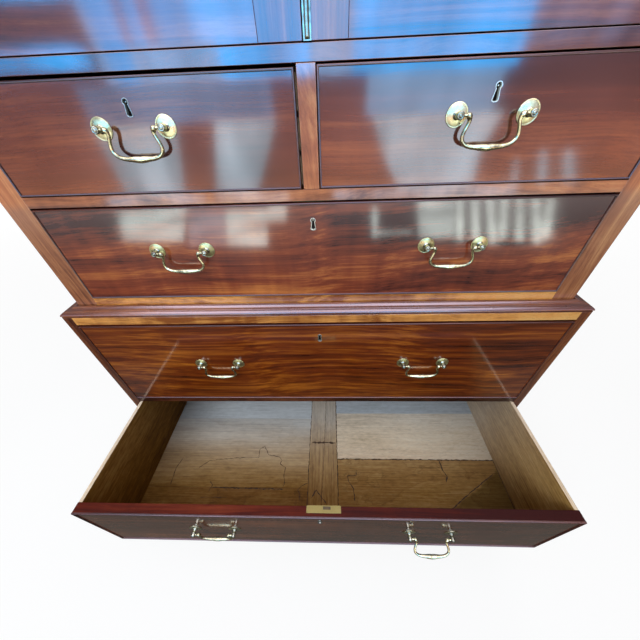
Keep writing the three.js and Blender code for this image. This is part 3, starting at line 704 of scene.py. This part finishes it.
def drawer_front(drawer, x, y, z, k):
    """A front with its cock bead, its keyhole and the thread escutcheon in it."""
    body, plan = f"{drawer}_drawer", DRAWERS[drawer]
    face = y[0] + BEAD_HIGH
    lift = (2, z[0] + 90, z[1] - 30, *plan["lift"]) if "lift" in plan else None
    veneer = mahogany(seed=100 + k, lift=lift, **plan["veneer"])
    edge = mahogany(EDGE, 110 + k, rough=0.5, coat=0, lift=(0, -300, 350, 0.02, -0.18))
    panel = box((x[0] + 0.1, x[1] - 0.1), (face, y[1]), (z[0] + 0.1, z[1] - 0.1))
    front = piece(f"{drawer}_face", panel, [veneer, edge], body, f"{drawer}_front", 0.5,
                  second=lambda side: side.normal.y >= -0.5)
    look = mahogany(BEAD, 115 + k, rough=0.3, gloss=0.3, coat=0.55)
    # A half round with its foot sunk 2 mm
    bow = arc((BEAD_WIDTH / 2, BEAD_HIGH - BEAD_WIDTH / 2), BEAD_WIDTH / 2, 180, 0, 10)
    bead = frame_strip(x, face, z, [(0, -2), *bow, (BEAD_WIDTH, -2)])
    piece(f"{drawer}_cock_bead", bead, look, body)

    kx, kz = plan["key"]
    # The keyhole's cut is lined with the dark grit: painted shade.
    cut_with(front, skin([keyhole(kx, yy, kz, 0.5) for yy in (face - 4, face + 13)]), dark_gap())
    # The escutcheon's section round the keyhole, how far out of the hole and how far back, and the pin
    section = ((0, 5), (0, -0.2), (0.3, -0.6), (1.1, -0.6), (1.4, -0.2), (1.4, 5))
    bm = skin([keyhole(kx, face + back, kz, grow) for grow, back in section], closed=True)
    pin = [(0, 0), (1.25, 0), (1.25, 11), (0.8, 11.6), (0, 11.7)]
    lathe((kx, face + 13, kz + KEY_HEAD_UP), (0, -1, 0), pin, 16, bm)
    # The escutcheon's brass is lightened or darkened for each drawer: painted light and shade.
    look = brass(20 + k, plan["ring"], amount=0.3, metal=0.6)
    piece(f"{drawer}_escutcheon", bm, look, body)


def lock(drawer, y, top, k):
    """The lock's plate, let in over the front's top edge and inner face, its bolt and its screws."""
    body, kx = f"{drawer}_drawer", DRAWERS[drawer]["key"][0]
    left, right, bolt = (31, 51, 17.5) if drawer == OPEN_DRAWER else (36, 36, 0)
    plate_x = (kx - left, kx + right)
    bm = box(plate_x, (y[1] - 14.2, y[1] + 1.4), (top - 1.5, top + 0.35))
    box(plate_x, (y[1] - 0.4, y[1] + 1.4), (top - PLATE_DOWN, top - 1.6), bm)
    look = brass(30 + k, (0.25, 0.22, 0.07), amount=0.35, rough=0.36)
    piece(f"{drawer}_lock_plate", bm, look, body, bevel=0.25)
    bm = box((kx + bolt - 9, kx + bolt + 9), (y[1] - 7.2, y[1] - 0.8), (top - 4, top + 0.75))
    screw = [(0, 0), (2.6, 0), (2.4, 0.25), (0, 0.4)]
    for sx in (plate_x[0] + 6, plate_x[1] - 6):
        for down in (10, PLATE_DOWN - 8):
            lathe((sx, y[1] + 1.35, top - down), (0, 1, 0), screw, 20, bm)
    look = brass(35 + k, (0.06, 0.052, 0.035), amount=0.6, rough=0.48)
    piece(f"{drawer}_lock_bolt", bm, look, body, bevel=0.2, smooth=50)


def drawer_side(drawer, side, y, z, k):
    """A side whose top face is painted pale, a painted highlight, and its dovetails into the front."""
    body, is_open = f"{drawer}_drawer", drawer == OPEN_DRAWER
    box_x, box_y, box_z = extent(f"{drawer}_box")
    out, inward = (box_x[0], 1) if side == "left" else (box_x[1], -1)
    # On the open drawer the left side takes a darker oak, painted shade, and the right side has painted cool
    # light towards its back.
    tones = (PALE_OAK if k % 2 else STRAW) if not is_open else SHADED_OAK if side == "left" else OAK
    faded = (-420, -60, 0.4) if is_open and side == "right" else None
    look = dry_wood(tones, 120 + 2 * k + inward, faded=faded)
    # The top faces of the sides are painted pale and cool: a painted highlight.
    painted_top_highlight = dry_wood(PALE_OAK, 130 + 2 * k + inward, faded=(-900, 900, 0.8))
    wall = box(tuple(sorted((out, out + inward * DRAWER_SIDE))), box_y, box_z)
    piece(f"{drawer}_side_{side}", wall, [look, painted_top_highlight], body,
          f"{drawer}_box" if side == "left" else None, 1.1, second=lambda face: face.normal.z > 0.5)
    count = max(3, round((z[1] - z[0]) / DOVETAIL_PITCH))
    pitch = (box_z[1] - box_z[0] - 6) / count
    near, far = pitch * 0.3, pitch * 0.42
    y0, y1 = y[1] + 0.1, y[1] - DOVETAIL_LONG
    bm = bmesh.new()
    for i in range(count):
        mid = box_z[0] + 3 + pitch * (i + 0.5)
        tail = ((y0, mid - near), (y0, mid + near), (y1, mid + far), (y1, mid - far))
        skin([[(xx, yy, zz) for yy, zz in tail] for xx in (out - inward * 0.34, out + inward * 9)], bm=bm)
    piece(f"{drawer}_dovetails_{side}", bm, look, body)


def closed_floor(drawer, x, y, z, k):
    """Three plain floorboards across a drawer."""
    cuts = [y[0] + (y[1] - y[0]) * j / 3 for j in range(4)]
    for i in range(3):
        look = dry_wood(PALE_OAK, 150 + 3 * k + i, "x", stain=0.3)
        board(f"{drawer}_floorboard_{i + 1}", x, (cuts[i] + 0.25, cuts[i + 1] - 0.25), z, look,
              f"{drawer}_drawer", "oak", bevel=0.5)


def open_floor(x, y, z):
    """The open drawer's floor: three boards in each bay beside the middle rail, which lies on it.
    Where the boards meet follows the photograph."""
    body = f"{OPEN_DRAWER}_drawer"
    rear = y[1] - 0.1
    # Each bay's boards go from a browner tone at the front to a blue-grey one at the back: partly the
    # boards' own tones, partly painted shade near the front and painted cool light at the back. Each bay
    # also has painted cool light towards its back and painted shade darkening it towards the drawer's side.
    bays = (("left", (x[0], 0.5 - RAIL_HALF), (y[0], -281.5, -34.6, rear), (BROWN_OAK, OAK, COOL_LIT_OAK), 160,
             (-290, -60, 0.8), (0, -380, -640, 0.4)),
            ("right", (RAIL_HALF - 0.5, x[1]), (y[0], -188.4, -10.7, rear), (OAK, PALE_OAK, COOL_LIT_OAK), 165,
             (-300, -20, 0.5), (0, 330, 640, 0.45)))
    for bay, ends, cuts, bay_tones, seed, faded, grime in bays:
        for i, stain in enumerate((0.6, 0.16, 0.1)):
            look = dry_wood(bay_tones[i], seed + i, "x", stain=stain, rough=0.42, faded=faded, grime=grime,
                            corner=(406, -329.5, 0.517, -0.856) if (bay, i) == ("right", 0) else None)
            board(f"{OPEN_DRAWER}_floor_{bay}_{i + 1}", ends, (cuts[i] + 0.35, cuts[i + 1] - 0.35), z, look,
                  body, "oak", f"{OPEN_DRAWER}_panel" if (bay, i) == ("left", 0) else None, 0.6)
    # The middle rail has painted cool light towards its back.
    look = dry_wood(OAK, 171, stain=0.2, rough=0.42, faded=(-330, -40, 0.6))
    board(f"{OPEN_DRAWER}_muntin_board", (-RAIL_HALF, RAIL_HALF), (y[0], rear),
          (z[1] + 0.2, z[1] + RAIL_THICK), look, body, "oak", f"{OPEN_DRAWER}_muntin", 1)


for k, (drawer, plan) in enumerate(DRAWERS.items()):
    x, y, z = extent(f"{drawer}_front")
    x = (x[0], x[1] - (SHORT_LEFT_SIDE_GAP if drawer == "short_left" else 0))
    z = (z[0], z[1] - plan["gap"])
    drawer_front(drawer, x, y, z, k)
    lock(drawer, y, z[1], k)
    drawer_side(drawer, "left", y, z, k)
    drawer_side(drawer, "right", y, z, k)
    box_x, box_y, box_z = extent(f"{drawer}_box")
    between = (box_x[0] + DRAWER_SIDE + 0.05, box_x[1] - DRAWER_SIDE - 0.05)
    back_y = (box_y[1] - DRAWER_BACK, box_y[1])
    look = dry_wood(OAK if drawer == OPEN_DRAWER else STRAW, 140 + k, "x")
    board(f"{drawer}_back", between, back_y, (box_z[0], z[1] - 14), look, f"{drawer}_drawer", "oak",
          bevel=1)
    floor_y, floor_z = (box_y[0], back_y[0]), (z[0] + FLOOR_LOW, z[0] + FLOOR_HIGH)
    if drawer == OPEN_DRAWER:
        open_floor(between, floor_y, floor_z)
    else:
        closed_floor(drawer, between, floor_y, floor_z, k)

OPEN_FLOOR_TOP = extent(f"{OPEN_DRAWER}_front")[2][0] + FLOOR_HIGH
# Cracks, joints and old scribed lines on the open drawer's floor and its middle rail, with the lines beside
# the middle rail and along the right side, joints darkened as painted shade: about half their width, and the
# points they run through, which follow the photograph
FLOOR_MARKS = (
    (0.9, [(-400, -311.3), (-309, -311.5)]),
    (1.3, [(-505.8, -188.1), (-518.5, -222.3), (-516.5, -246.6), (-514.5, -276.1)]),
    (1.1, [(-437.3, -223.1), (-405.8, -197.6), (-317.5, -188.2), (-231.8, -185.7), (-233.3, -154.7),
           (-216.4, -145.4), (-197.1, -176.7), (-155.3, -183.3), (-146.5, -195.3), (-152.1, -206.3),
           (-131.1, -218.4), (-134.2, -242.5), (-128.7, -265.6), (-132, -279)]),
    (1.2, [(-382.8, -264.6), (-370.4, -275.9), (-376.8, -294.5)]),
    (1.2, [(-49, -264.6), (-71.6, -276.1), (-83.1, -287.2), (-73.8, -301.4), (-76.1, -322.3)]),
    (2, [(-370, -282.6), (-250, -284.6), (-130, -285.6)]),
    (1.6, [(113.8, -224.1), (112.5, -239.9), (82.9, -241.7), (86.1, -259.3), (101, -281.4),
           (102.4, -316.5)]),
    (2.6, [(403, -190.5), (405.8, -221.1), (414.3, -240.5), (405.6, -259.4)]),
    (1.6, [(330, -376), (406, -329.5), (475, -286.2), (569.3, -231.4)]),
    (2, [(48, -188.6), (311, -188.4), (590, -188.8)]),
    (3.2, [(590, -190), (589.4, -290), (589.6, -392)]),
    (3.4, [(-41, -131.6), (-12, -133.2), (14, -132), (44, -134.5)]),
    (1.6, [(-36.5, -310.9), (-21.3, -288.1), (11.4, -326)]),
    (0.7, [(9.8, 60), (4, -140), (-4.3, -322.8)]),
    (1.5, [(-49.4, -392), (-49.4, 60)]),
    (1.7, [(49.5, -392), (49.5, 60)]),
    (2.8, [(587.2, -392), (588.4, -300), (589.6, -160)]),
)


def add_mark(bm, width, points, rng):
    """A thin ragged strip through points, narrow at both ends. It lies on the middle rail where all its
    points are within the rail's width, and on the floor elsewhere."""
    on_rail = all(abs(px) < RAIL_HALF for px, _ in points)
    height = OPEN_FLOOR_TOP + (RAIL_THICK if on_rail else 0) + 0.12
    path = []
    for (ax, ay), (cx, cy) in zip(points, points[1:]):
        count = max(2, round(hypot(cx - ax, cy - ay) / 6))
        path += [(ax + (cx - ax) * i / count, ay + (cy - ay) * i / count) for i in range(count)]
    path.append(points[-1])
    rows = []
    for i, (px, py) in enumerate(path):
        ax, ay = path[max(i - 1, 0)]
        cx, cy = path[min(i + 1, len(path) - 1)]
        length = hypot(cx - ax, cy - ay)
        nx, ny = -(cy - ay) / length, (cx - ax) / length
        wide = width * (0.34 + 0.9 * rng.random()) * (0.3 if i in (0, len(path) - 1) else 1)
        off = rng.uniform(-0.9, 0.9)
        rows.append([bm.verts.new((px + nx * (off + s * wide), py + ny * (off + s * wide), height))
                     for s in (-1, 1)])
    for a, b in zip(rows, rows[1:]):
        bm.faces.new((a[0], a[1], b[1], b[0]))


rng = random.Random(7)
bm = bmesh.new()
for width, points in FLOOR_MARKS:
    add_mark(bm, width, points, rng)
piece(f"{OPEN_DRAWER}_floor_cracks_and_shade_lines", bm, dark_gap((0.022, 0.01, 0.003), (0.085, 0.042, 0.014)),
      f"{OPEN_DRAWER}_drawer")

# Handles

# How far apart the posts of a handle are, how far the pin stands off, how far the bail hangs down,
# how far in from a post's axis its arm begins, and the reach of the post's darker stem
SPREAD, STAND, DROP, BALL, STEM = 105.5, 14, 42, 6, 7
# How many degrees the right bail of the open drawer is lifted
LIFTED = 42
# A post from its rosette's foot to its tip: radius, and distance out from the drawer's face
POST = [(0, 0.2), (16.2, 0.2), (16.35, 0.6), (16.1, 1.1), (15.6, 1.3), (14.6, 1.25), (14.3, 1.05),
        (13.9, 1.2), (11, 1.75), (8, 2.2), (6.6, 2.5), (6.4, 3.1), (5.9, 3.6), (5, 4), (4.3, 4.8),
        (4.1, 6.2), (4.3, 7.8), (5, 8.8), (5.4, 9.6), (5.5, 10.6), (5.5, 17), (5.3, 17.7), (4.7, 18.2),
        (3.6, 18.35), (3.3, 18.1), (2.9, 18.1), (2.6, 18.6), (1.5, 18.95), (0, 19.05)]
# Half a bail, from its pin to its lowest point: share of half the spread, share of the drop, radius
BAIL = ((0.85, 0, 2), (0.825, 0, 2.1), (0.8, -0.002, 3), (0.775, 0, 3.9), (0.745, 0.02, 4.3),
        (0.718, 0.065, 3.9), (0.705, 0.12, 3.2), (0.702, 0.19, 2.8), (0.728, 0.3, 2.7), (0.768, 0.44, 2.75),
        (0.793, 0.58, 2.8), (0.785, 0.71, 2.85), (0.722, 0.83, 2.95), (0.6, 0.92, 3.1), (0.43, 0.965, 3.5),
        (0.3, 0.975, 4), (0.16, 0.985, 4.8), (0.06, 0.995, 5.1), (0, 1, 5.1))


def spline(points, steps):
    """A smooth curve through points of any dimension."""
    curve = []
    last = len(points) - 1
    for i in range(last):
        near = (points[max(i - 1, 0)], points[i], points[i + 1], points[min(i + 2, last)])
        for t in (s / steps for s in range(steps)):
            curve.append(tuple(
                0.5 * (2 * b + (c - a) * t + (2 * a - 5 * b + 4 * c - d) * t * t
                       + (3 * b - a - 3 * c + d) * t ** 3) for a, b, c, d in zip(*near)))
    curve.append(points[-1])
    return curve


def bail_rings():
    """Rings of points along a hanging bail, about the middle of its pins."""
    half = [(SPREAD / 2 * a, -DROP * b, r) for a, b, r in BAIL]
    half[0] = (SPREAD / 2 - BALL + 3.2, 0, 2)
    path = spline(half + [(-a, b, r) for a, b, r in reversed(half[:-1])], 4)
    rings = []
    for i, (px, pz, radius) in enumerate(path):
        ax, az, _ = path[max(i - 1, 0)]
        cx, cz, _ = path[min(i + 1, len(path) - 1)]
        length = hypot(cx - ax, cz - az)
        tx, tz = (cx - ax) / length, (cz - az) / length
        turns = (2 * pi * s / 20 for s in range(20))
        ring = [(radius * cos(turn), radius * sin(turn)) for turn in turns]
        rings.append([(px - tz * across, out, pz + tx * across) for across, out in ring])
    return rings


# The brass of the long drawers' handles, the lowest pair darker as painted shade
HANDLE_TONES = {"upper_long": dict(base=(0.58, 0.57, 0.27)), "middle_long": dict(base=(0.58, 0.57, 0.27)),
                "bottom_long": dict(base=(0.47, 0.45, 0.26), tarnish=(0.05, 0.042, 0.02), amount=0.95)}


def handle(drawer, which):
    """Two posts with their rosettes, and the bail that hangs between them."""
    name = f"{drawer}_{which}"
    hx, hy, hz = joint_place(f"{name}_bail")
    seed = 40 + len(name) + (3 if which == "left" else 0)
    look = brass(seed, **HANDLE_TONES.get(drawer, {}))
    stem_look = brass(seed, (0.4, 0.42, 0.3), (0.05, 0.045, 0.025), amount=0.9, rough=0.16)
    bail_look = brass(seed + 7, (0.6, 0.58, 0.33), (0.09, 0.075, 0.035), amount=0.9, rough=0.15)
    bore = [(0, 0), (2.35, 0), (2.35, 8), (0, 8)]
    for side, sign in (("left", -1), ("right", 1)):
        px = hx + sign * SPREAD / 2
        post = piece(
            f"{name}_rosette_{side}", lathe((px, hy + STAND, hz), (0, -1, 0), POST, 40), [look, stem_look],
            f"{drawer}_drawer", f"{name}_post_{side}", smooth=50,
            second=lambda face: hypot(face.center.x - px * MM, face.center.z - hz * MM) < STEM * MM)
        cut_with(post, lathe((px - sign * (BALL - 3.55), hy, hz), (-sign, 0, 0), bore, 20), look)
    raised = radians(LIFTED) if name == "bottom_long_right" else 0
    bm = skin(bail_rings())
    turn = Matrix.Translation((hx, hy, hz)) @ Matrix.Rotation(-raised, 4, "X")
    bmesh.ops.transform(bm, matrix=turn, verts=bm.verts)
    piece(f"{name}_swan_bail", bm, bail_look, f"{name}_bail", f"{name}_bail", smooth=60)


for drawer in DRAWERS:
    for which in ("handle",) if drawer.startswith("short") else ("left", "right"):
        handle(drawer, which)

# Floor, light and camera, in metres


def floor_paper():
    """A pale floor that keeps the press's shadow, and that the polish mirrors as a dim room."""
    n = Surface("floor_paper")
    rays = n.new("LightPath")
    tone = n.noise(n.coords((2, 2, 2)), 3)
    n.set(Base_Color=n.ramp(tone, [(0, 0.42), (1, 0.48)]), Roughness=0.9)
    seen = n.new("Emission")
    n.feed(seen.inputs[0], (1, 1, 1))
    away = n.node("VectorMath", "Value", {0: n.place()}, operation="LENGTH")
    n.feed(seen.inputs[1], n.span(away, 1.5, 6, 0.84, 0.96))
    paper = n.node("BsdfDiffuse", 0, {0: (0.16, 0.16, 0.16)})
    to_camera = n.node("AddShader", 0, {0: seen.outputs[0], 1: paper})
    mirrored = n.new("Emission")
    n.feed(mirrored.inputs[0], n.ramp(n.span(n.axis(1), -0.4, -3.4), [
        (0, (0.125, 0.125, 0.112)), (0.05, (0.11, 0.108, 0.096)), (0.075, (0.045, 0.032, 0.024)),
        (0.3, (0.05, 0.036, 0.028)), (0.6, (0.3, 0.24, 0.21)), (1, (0.72, 0.64, 0.6))]))
    n.feed(mirrored.inputs[1], 1)
    shader = n.by_ray(rays, "Camera", n.bsdf.outputs[0], to_camera)
    n.feed(n.out.inputs[0], n.by_ray(rays, "Glossy", shader, mirrored.outputs[0]))
    return n.material


bm = bmesh.new()
bmesh.ops.create_grid(bm, x_segments=1, y_segments=1, size=14)
floor = mesh_object("floor", bm)
floor.location.z = -0.0005
floor.data.materials.append(floor_paper())

world = bpy.data.worlds.new("studio")
scene.world = world
n = Nodes(world, "OutputWorld")
rays = n.new("LightPath")


def sky(colour, strength):
    return n.node("Background", 0, {0: colour, 1: strength})


soft = n.by_ray(rays, "Glossy", sky((0.96, 0.97, 1), 0.33), sky((0.62, 0.68, 0.8), 0.32))
n.feed(n.out.inputs[0], n.by_ray(rays, "Camera", soft, sky((1, 1, 1), 1)))


def area_light(name, place, target, size, radiance, colour, mirrored=False):
    data = give(bpy.data.lights.new(name, "AREA"), shape="RECTANGLE", size=size[0], size_y=size[1],
                energy=radiance * pi * size[0] * size[1], color=colour)
    turn = (Vector(target) - Vector(place)).to_track_quat("-Z", "Y").to_euler()
    give(add_object(name, data), location=place, rotation_euler=turn, visible_camera=False,
         visible_glossy=mirrored)


area_light("high_window", (-1.3, -2.5, 2.9), (0, -0.15, 0.3), (2.4, 1.7), 7.2, (0.82, 0.91, 1))
area_light("rear_fill", (0.8, 3.4, 2.8), (0, 0.3, 1), (2.6, 2), 3.2, (1, 0.98, 0.95))
area_light("ceiling", (0.4, -1.3, 3.6), (0, -0.5, 0), (3, 1.8), 1.2, (1, 0.97, 0.93), mirrored=True)


def glow(name, colour, strength, streaks, contrast):
    """A soft box whose light is a little uneven. colour may be stops of (height, colour)."""
    n = Surface(name)
    shine = n.new("Emission")
    if isinstance(colour, list):
        highest = colour[-1][0]
        stops = [(height / highest, tint) for height, tint in colour]
        colour = n.ramp(n.span(n.axis(2), 0, highest), stops)
    n.feed(shine.inputs[0], colour)
    uneven = n.noise(n.coords(streaks), 3)
    n.feed(shine.inputs[1], n.span(uneven, 0.3, 0.7, strength * (1 - contrast), strength * (1 + contrast)))
    n.feed(n.out.inputs[0], shine.outputs[0])
    return n.material


WINDOW_WALL = -3.6


def soft_box(name, sheets, colour, strength, upright=True, streaks=(0.8, 0.8, 0.8), contrast=0.35):
    """Thin glowing sheets that only the polish and the brass mirror. Each sheet is a depth and corners:
    (x, z) at the window wall and a depth off it, or (x, y) and a height over the floor."""
    bm = bmesh.new()
    for depth, corners in sheets:
        bm.faces.new([bm.verts.new((a, WINDOW_WALL + depth, b) if upright else (a, b, depth))
                      for a, b in corners])
    obj = mesh_object(name, bm)
    obj.data.materials.append(glow(name + "_glow", colour, strength, streaks, contrast))
    give(obj, visible_camera=False, visible_diffuse=False, visible_shadow=False, visible_transmission=False,
         visible_volume_scatter=False)


def pane(x0, x1, low, high, depth=0, top=None):
    """A sheet from x0 to x1. top gives its upper or farther edge a span of its own."""
    left, right = top or (x0, x1)
    return depth, [(x0, low), (x1, low), (right, high), (left, high)]


# The room that the photograph's polish mirrors: a dim wall, the sky above it, window panes, a bright
# sill, and the window's light on the floor
ROOM = [(0, (1, 0.42, 0.22)), (0.5, (0.92, 0.36, 0.25)), (1, (0.6, 0.25, 0.22)),
        (1.46, (0.45, 0.2, 0.2))]
SKY = [(1.3, (0.03, 0.42, 1)), (2, (0.04, 0.4, 0.95)), (2.6, (0.17, 0.19, 0.29)),
       (3.6, (0.15, 0.15, 0.2)), (5, (0.15, 0.15, 0.19))]
soft_box("dim_wall", [pane(-7, 7, 0.002, 1.46, -0.02)], ROOM, 1.7)
soft_box("sky_panes", [
    pane(-4.2, -2.5, 1.98, 5), pane(-4.2, -2.58, 1.45, 1.64), pane(-2.04, -1.89, 1.62, 5),
    pane(-1.77, -0.16, 1.62, 5), pane(-1.15, -0.16, 1.32, 1.62),
    pane(-2.36, -2.12, 1.32, 2.2, top=(-2.5, -2.12)), pane(0.3, 2.08, 1.32, 5)],
         SKY, 8.6, streaks=(2.6, 1, 0.3), contrast=0.5)
soft_box("sky_gaps", [
    pane(-0.16, 0.3, 1.32, 5), pane(-2.5, -2.3, 1.32, 5, -0.01), pane(-2.12, -1.15, 1.32, 1.62)],
         (0.32, 0.58, 1), 5.6, streaks=(4, 1, 1))
soft_box("folds", [pane(-2.4, -1.7, 1.62, 5, -0.015)], (0.52, 0.5, 0.9), 2.6, streaks=(4, 1, 1))
soft_box("curtain", [pane(2.08, 4.2, 1.46, 5)], (0.5, 0.55, 0.9), 1.8, streaks=(6, 1, 0.5),
         contrast=0.8)
soft_box("upper_panes", [pane(-2.9, -0.62, 0.94, 1.32)], (0.38, 0.6, 1), 2.6, streaks=(1.5, 1, 0.4))
soft_box("clear_panes", [pane(0.48, 1.97, 0.94, 1.32)], (0.44, 0.66, 1), 4.2, streaks=(1.5, 1, 0.4))
sill = [pane(x0, x1, 0.004, 0.12, 0.01) for x0, x1 in ((-3.2, -1.75), (-1.6, -0.55), (0.1, 2.6))]
soft_box("bright_sill", sill, (0.88, 0.86, 1), 3, streaks=(2.5, 1, 1), contrast=0.6)
soft_box("overhead", [pane(-2.4, 2.4, -3.5, -0.25, 3.3)], (0.88, 0.8, 1), 5.2, upright=False)
soft_box("lower_panes", [
    pane(-2.86, -2.03, 0.12, 0.938, top=(-2.92, -1.84)), pane(-1.57, -0.97, 0.12, 0.938, top=(-1.36, -0.6)),
    (0, [(1, 0.12), (2, 0.12), (1.96, 0.5), (2.1, 0.938), (0.56, 0.938), (0.72, 0.55)]),
    pane(2.52, 2.58, 0.12, 0.45, top=(2.43, 2.46)), pane(2.86, 2.98, 0.12, 0.52, top=(2.71, 2.78)),
    pane(3.2, 3.36, 0.12, 0.52, top=(3.01, 3.1))],
         (0.74, 0.88, 1), 3.9, streaks=(2.2, 1, 0.5), contrast=0.5)
soft_box("dim_patch", [(0.01, [(-1.87, -3.21), (-1.36, -3.21), (-1.01, -2.09), (-1.4, -2.11)])],
         (0.85, 0.9, 1), 2, upright=False, streaks=(1.6, 1.6, 1), contrast=0.6)
soft_box("floor_patches", [
    (0.01, [(-2.95, -3.38), (-1.96, -3.38), (-1.52, -2.23), (-2.19, -2.27)]),
    (0.01, [(-1.35, -3.21), (-0.8, -3.21), (-0.59, -2.07), (-1, -2.09)]),
    (0.012, [(-0.8, -3.36), (-0.55, -3.36), (-0.49, -2.75), (-0.72, -2.76)]),
    (0.01, [(0.59, -3.21), (0.66, -3.21), (0.52, -2.22), (0.47, -2.23)]),
    pane(0.54, 0.91, -2.38, -2.28, 0.012, top=(0.53, 0.89)),
    pane(1.24, 1.74, -3.46, -2.18, 0.01, top=(0.93, 1.27))],
         (0.89, 0.98, 0.92), 4.7, upright=False, streaks=(1.6, 1.6, 1), contrast=0.5)
streaks = [pane(1.78 + 0.19 * i, 1.87 + 0.19 * i, -3.5 + 0.02 * i, -2.1 + 0.05 * (i % 3), 0.012,
                top=(1.27 + 0.135 * i, 1.34 + 0.135 * i)) for i in range(7)]
soft_box("floor_streaks", streaks, (0.92, 1, 0.92), 7, upright=False, streaks=(1.6, 1.6, 1))

# The camera stands where the photograph's did, solved from the straight edges in it
FOCAL_PIXELS, PICTURE_PIXELS, SENSOR = 267.503, 640, 36
RIGHT = Vector((0.9991791, 0.022763, -0.0335118))
DOWN = Vector((-0.0109918, -0.643854, -0.7650694))
AHEAD = Vector((-0.038992, 0.7648097, -0.6430753))
camera_data = give(bpy.data.cameras.new("photograph_view"), sensor_width=SENSOR, clip_start=0.01)
camera_data.lens = FOCAL_PIXELS * SENSOR / PICTURE_PIXELS
camera = add_object("photograph_view", camera_data)
scene.camera = camera
turn = Matrix((RIGHT, -DOWN, -AHEAD)).transposed().to_4x4()
camera.matrix_world = Matrix.Translation((0.0309534, -0.5975805, 1.145666)) @ turn

scene.view_settings.view_transform = "Standard"
